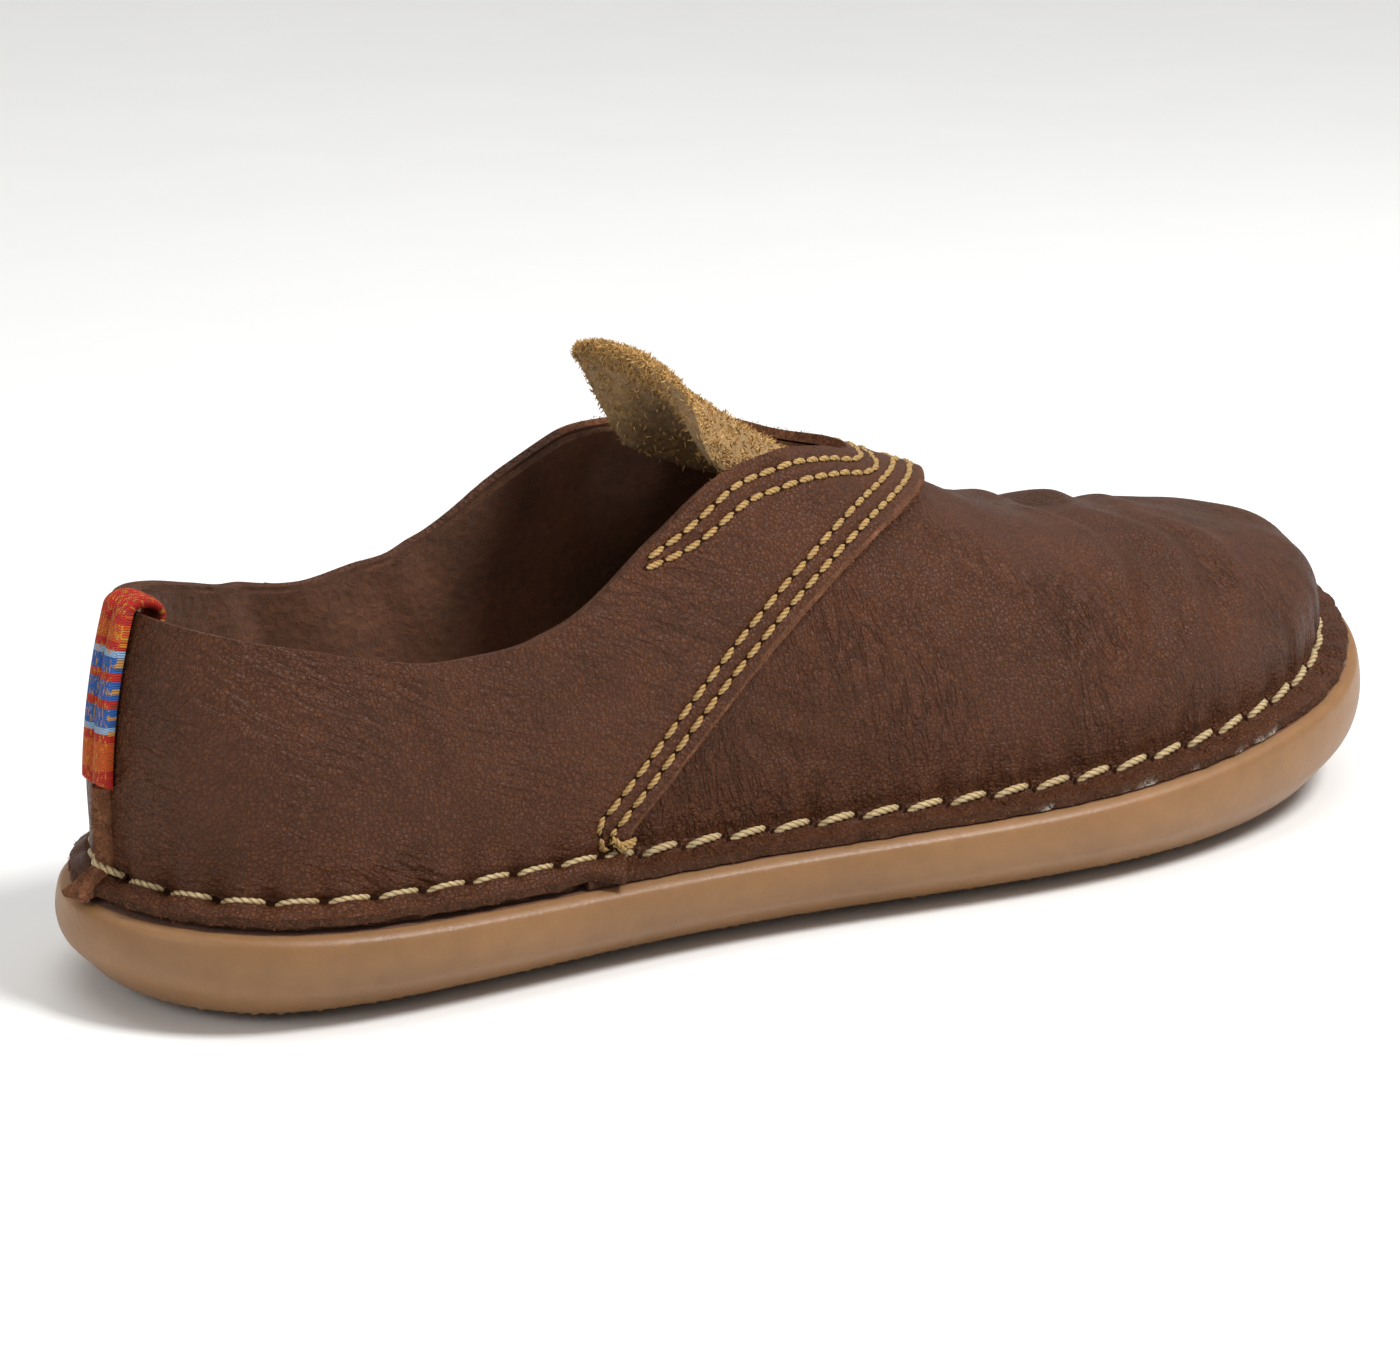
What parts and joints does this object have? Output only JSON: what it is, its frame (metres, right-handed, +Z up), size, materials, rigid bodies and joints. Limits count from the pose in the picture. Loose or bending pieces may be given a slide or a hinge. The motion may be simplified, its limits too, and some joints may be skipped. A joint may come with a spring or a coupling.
{
  "type": "barefoot shoe",
  "caption": "Right slip-on barefoot shoe: hollow leather upper stitched down on a thin gum rubber cup sole, with suede tongue, suede insole and woven heel tab.",
  "frame": {"origin": "centre of the outline's box, on the floor plane under the flat tread", "axes": "+X towards the toe, +Y towards the inner side of the foot, +Z up out of the collar"},
  "size_m": [0.2902, 0.1125, 0.1027],
  "materials": {
    "outsole": "satin gum rubber",
    "insole": "tan suede",
    "upper": "waxed brown leather",
    "quarters": "waxed brown leather",
    "tongue": "tan suede",
    "heel_tab": "striped woven ribbon"
  },
  "bodies": {
    "root": {"outsole": "outsole", "insole": "insole", "upper": "upper", "quarters": "quarters", "tongue": "tongue", "heel_tab": "heel_tab"}
  },
  "joints": []
}
